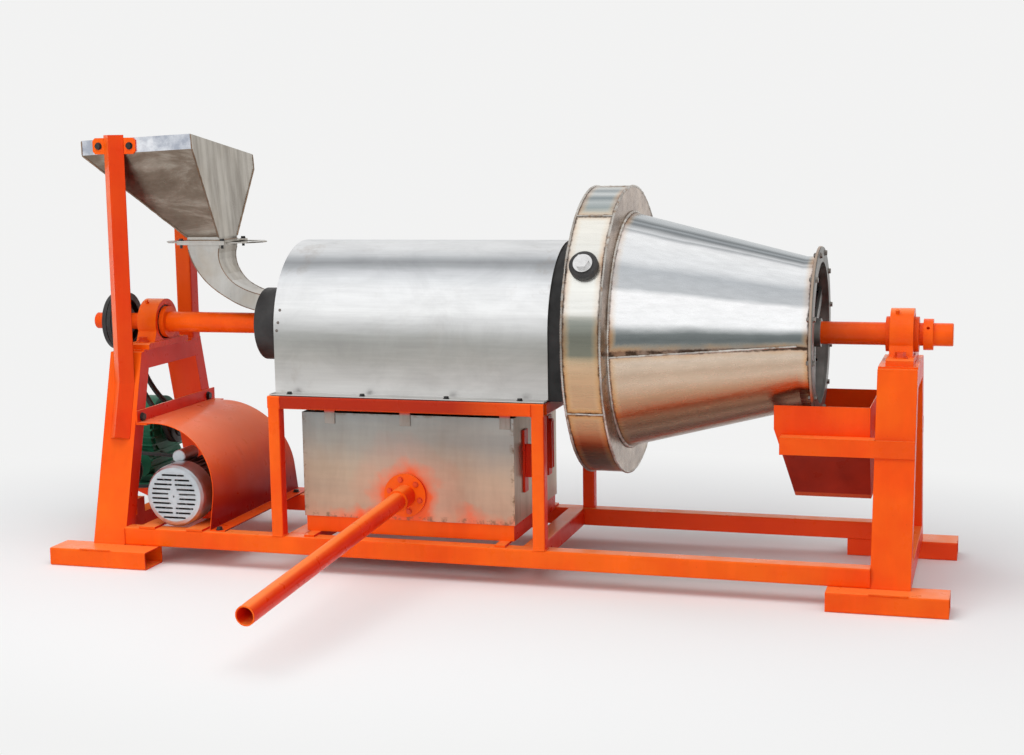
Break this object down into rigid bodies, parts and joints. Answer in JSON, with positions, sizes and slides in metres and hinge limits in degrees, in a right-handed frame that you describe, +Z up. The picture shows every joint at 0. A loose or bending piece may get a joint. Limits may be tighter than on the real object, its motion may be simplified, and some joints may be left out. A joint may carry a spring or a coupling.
{
  "type": "puffed rice machine",
  "caption": "Rotating roasting drum with a sand ring and sieve cone on a steel stand, with feed hopper, furnace box, belt drive and discharge trough.",
  "frame": {"origin": "on the floor plane, straight under the drum axis, midway between the left and right feet", "axes": "+X along the drum axis towards the outlet, +Y from the operator's side to the back, +Z up"},
  "size_m": [2.573, 1.5831, 1.208],
  "materials": {
    "frame_paint": "gloss",
    "bearing_paint": "gloss",
    "hood_sheet": "satin",
    "cone_sheet": "satin",
    "hopper_sheet": "satin",
    "furnace_sheet": "satin",
    "sieve_sheet": "satin",
    "drum_steel": "matte",
    "inner_steel": "satin",
    "shaft_steel": "satin",
    "pulley_black": "satin",
    "belt_rubber": "matte",
    "gearbox_green": "satin",
    "motor_black": "satin",
    "cover_silver": "satin",
    "capacitor_can": "satin",
    "bolt_black": "satin",
    "bolt_steel": "satin"
  },
  "bodies": {
    "frame": {"front_left_foot": "frame_paint", "back_left_foot": "frame_paint", "front_right_foot": "frame_paint", "back_right_foot": "frame_paint", "front_rail": "frame_paint", "back_rail": "frame_paint", "lower_cross_members": "frame_paint", "left_stand": "frame_paint", "right_stand": "frame_paint", "front_cage_frame": "frame_paint", "back_cage_frame": "frame_paint", "upper_cross_members": "frame_paint", "front_hopper_post": "frame_paint", "rear_hopper_post": "frame_paint", "hopper_bracket": "frame_paint", "hopper": "hopper_sheet", "feed_chute": "hopper_sheet", "left_bearing_housing": "bearing_paint", "right_bearing_housing": "bearing_paint", "drive_belt": "belt_rubber", "gearbox_housing": "gearbox_green", "gearbox_bracket": "frame_paint", "input_belt": "belt_rubber", "motor_housing": "motor_black", "fan_cover": "cover_silver", "capacitor": "capacitor_can", "motor_base": "frame_paint", "belt_guard": "frame_paint", "guard_bar": "frame_paint", "hood": "hood_sheet", "drum_jacket": "drum_steel", "furnace_box": "furnace_sheet", "furnace_base": "frame_paint", "furnace_brackets": "frame_paint", "air_pipe": "frame_paint", "trough_angles": "frame_paint", "discharge_trough": "frame_paint", "frame_bolts": "bolt_black"},
    "drum_assembly": {"main_shaft": "bearing_paint", "bearing_inner_rings": "inner_steel", "shaft_collar": "bearing_paint", "drive_pulley": "pulley_black", "drum": "drum_steel", "drum_flights": "inner_steel", "drum_spokes": "inner_steel", "sand_ring": "cone_sheet", "plug_boss": "drum_steel", "outlet_cone": "cone_sheet", "sieve_cone": "sieve_sheet", "outlet_flange": "cone_sheet", "outlet_spokes": "sieve_sheet", "outlet_bolts": "bolt_steel"},
    "sand_plug": {"sand_plug": "shaft_steel"},
    "feed_gate": {"feed_gate": "hopper_sheet"},
    "gear_output": {"output_pulley": "pulley_black", "gearbox_output_shaft": "shaft_steel"},
    "worm": {"worm_shaft": "shaft_steel", "input_pulley": "pulley_black"},
    "motor_rotor": {"motor_pulley": "pulley_black", "motor_rotor": "shaft_steel"}
  },
  "joints": [
    {"name": "drum_spin", "type": "hinge", "parent": "frame", "child": "drum_assembly", "pos_m": [0, 0, 0.66], "axis": [1, 0, 0], "continuous": true},
    {"name": "output_spin", "type": "hinge", "parent": "frame", "child": "gear_output", "pos_m": [-1.182, 0.3, 0.29], "axis": [1, 0, 0], "continuous": true},
    {"name": "worm_spin", "type": "hinge", "parent": "frame", "child": "worm", "pos_m": [-1.262, 0.2, 0.185], "axis": [0, 1, 0], "continuous": true},
    {"name": "motor_spin", "type": "hinge", "parent": "frame", "child": "motor_rotor", "pos_m": [-0.897, 0, 0.191], "axis": [0, 1, 0], "continuous": true},
    {"name": "gate_slide", "type": "slide", "parent": "frame", "child": "feed_gate", "axis": [-1, 0, 0], "range_m": [0, 0.105]},
    {"name": "plug_draw", "type": "slide", "parent": "drum_assembly", "child": "sand_plug", "axis": [0, -0.866, 0.5], "range_m": [0, 0.024]}
  ],
  "couplings": [
    {"joint": "output_spin", "follows": "drum_spin", "ratio": 1.739},
    {"joint": "worm_spin", "follows": "drum_spin", "ratio": 34.78},
    {"joint": "motor_spin", "follows": "drum_spin", "ratio": 53.839}
  ]
}
